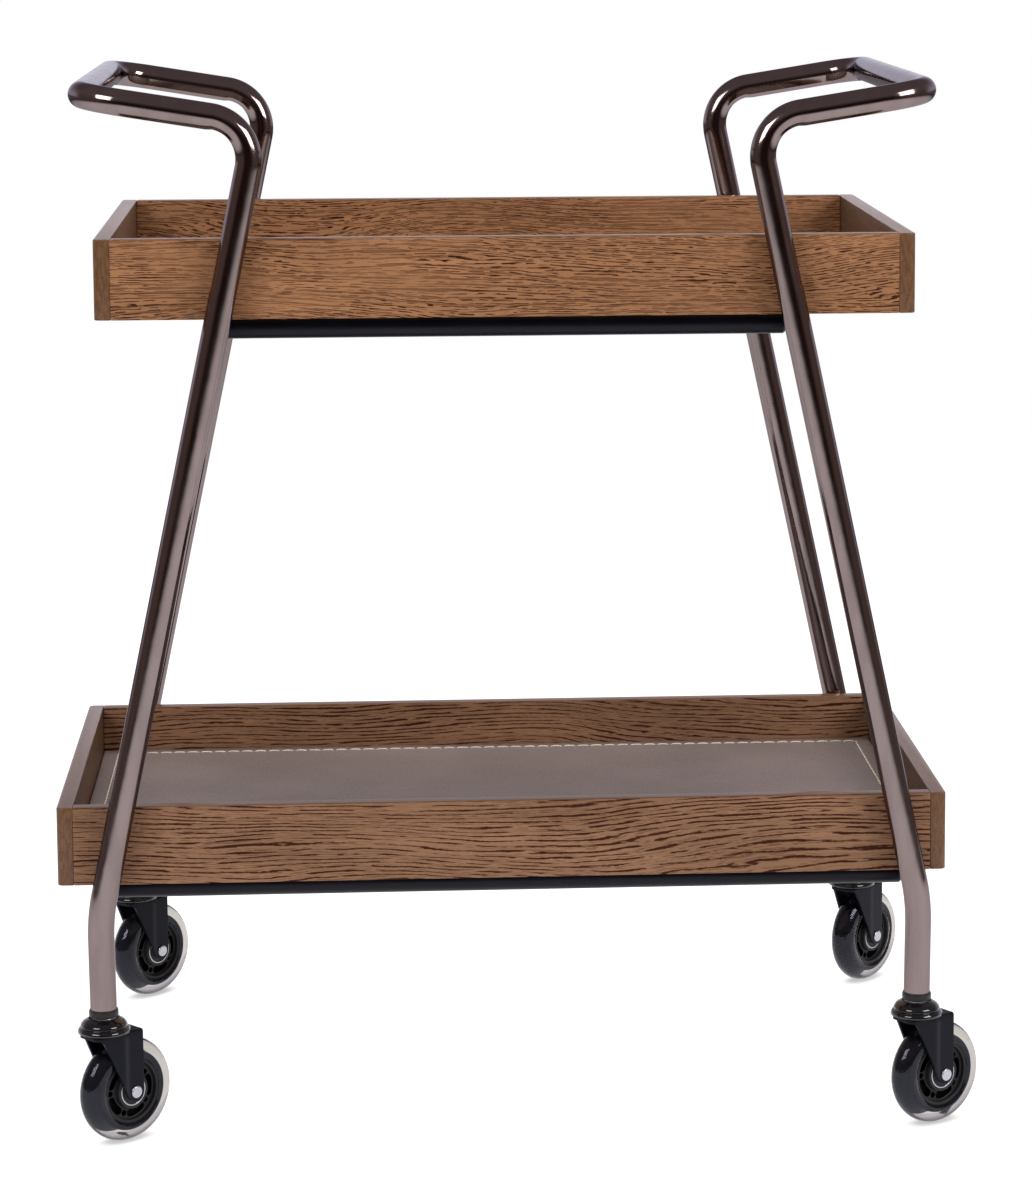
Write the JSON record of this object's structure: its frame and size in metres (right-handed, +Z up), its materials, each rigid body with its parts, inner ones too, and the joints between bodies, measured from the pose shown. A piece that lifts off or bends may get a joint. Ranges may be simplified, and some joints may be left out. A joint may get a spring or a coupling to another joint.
{
  "type": "bar cart",
  "caption": "Two-tier bar cart with stitched leather-lined wooden trays between bent tube frames whose tops form push handles, on swivel casters.",
  "frame": {"origin": "on the floor, midway between the legs", "axes": "+X across the cart to its right handle, +Y from the front to the back, +Z up"},
  "size_m": [0.6661, 0.4483, 0.7615],
  "materials": {
    "black_nickel": "polished",
    "satin_black": "satin",
    "oak": "satin lacquer",
    "plywood": "matte",
    "leather": "matte",
    "socket_plastic": "matte",
    "gloss_black": "gloss",
    "fork_black": "satin",
    "hub_plastic": "satin",
    "clear_tyre": "clear",
    "bearing_steel": "bright",
    "steel": "bright"
  },
  "bodies": {
    "frame": {"frame_stubs": "black_nickel", "front_left_caster_cap": "gloss_black", "front_left_caster_stem": "steel", "front_right_caster_cap": "gloss_black", "front_right_caster_stem": "steel", "left_frame_tube": "black_nickel", "leg_sockets": "socket_plastic", "lower_front_rail": "satin_black", "lower_left_rod": "satin_black", "lower_rear_rail": "satin_black", "lower_right_rod": "satin_black", "lower_tray_front_board": "oak", "lower_tray_leather": "leather", "lower_tray_left_end_board": "oak", "lower_tray_panel": "plywood", "lower_tray_rear_board": "oak", "lower_tray_right_end_board": "oak", "rear_left_caster_cap": "gloss_black", "rear_left_caster_stem": "steel", "rear_right_caster_cap": "gloss_black", "rear_right_caster_stem": "steel", "right_frame_tube": "black_nickel", "tray_screws": "steel", "upper_front_rail": "satin_black", "upper_left_rod": "satin_black", "upper_rear_rail": "satin_black", "upper_right_rod": "satin_black", "upper_tray_front_board": "oak", "upper_tray_leather": "leather", "upper_tray_left_end_board": "oak", "upper_tray_panel": "plywood", "upper_tray_rear_board": "oak", "upper_tray_right_end_board": "oak"},
    "front_left_fork": {"front_left_caster_fork": "fork_black", "front_left_caster_axle": "steel", "front_left_caster_washers": "steel"},
    "front_left_wheel": {"front_left_caster_hub": "hub_plastic", "front_left_caster_tyre": "clear_tyre", "front_left_caster_bearings": "bearing_steel"},
    "front_right_fork": {"front_right_caster_fork": "fork_black", "front_right_caster_axle": "steel", "front_right_caster_washers": "steel"},
    "front_right_wheel": {"front_right_caster_hub": "hub_plastic", "front_right_caster_tyre": "clear_tyre", "front_right_caster_bearings": "bearing_steel"},
    "rear_left_fork": {"rear_left_caster_fork": "fork_black", "rear_left_caster_axle": "steel", "rear_left_caster_washers": "steel"},
    "rear_left_wheel": {"rear_left_caster_hub": "hub_plastic", "rear_left_caster_tyre": "clear_tyre", "rear_left_caster_bearings": "bearing_steel"},
    "rear_right_fork": {"rear_right_caster_fork": "fork_black", "rear_right_caster_axle": "steel", "rear_right_caster_washers": "steel"},
    "rear_right_wheel": {"rear_right_caster_hub": "hub_plastic", "rear_right_caster_tyre": "clear_tyre", "rear_right_caster_bearings": "bearing_steel"}
  },
  "joints": [
    {"name": "front_left_swivel", "type": "hinge", "parent": "frame", "child": "front_left_fork", "pos_m": [-0.29323, -0.193, 0.0836], "axis": [0, 0, 1], "continuous": true},
    {"name": "front_left_roll", "type": "hinge", "parent": "front_left_fork", "child": "front_left_wheel", "pos_m": [-0.28003, -0.18152, 0.038], "axis": [-0.6561, 0.7547, 0], "continuous": true},
    {"name": "front_right_swivel", "type": "hinge", "parent": "frame", "child": "front_right_fork", "pos_m": [0.29323, -0.193, 0.0836], "axis": [0, 0, 1], "continuous": true},
    {"name": "front_right_roll", "type": "hinge", "parent": "front_right_fork", "child": "front_right_wheel", "pos_m": [0.30791, -0.18347, 0.038], "axis": [-0.5446, 0.8387, 0], "continuous": true},
    {"name": "rear_left_swivel", "type": "hinge", "parent": "frame", "child": "rear_left_fork", "pos_m": [-0.29323, 0.193, 0.0836], "axis": [0, 0, 1], "continuous": true},
    {"name": "rear_left_roll", "type": "hinge", "parent": "rear_left_fork", "child": "rear_left_wheel", "pos_m": [-0.28108, 0.20559, 0.038], "axis": [-0.7193, 0.6947, 0], "continuous": true},
    {"name": "rear_right_swivel", "type": "hinge", "parent": "frame", "child": "rear_right_fork", "pos_m": [0.29323, 0.193, 0.0836], "axis": [0, 0, 1], "continuous": true},
    {"name": "rear_right_roll", "type": "hinge", "parent": "rear_right_fork", "child": "rear_right_wheel", "pos_m": [0.30517, 0.2058, 0.038], "axis": [-0.7314, 0.682, 0], "continuous": true}
  ]
}
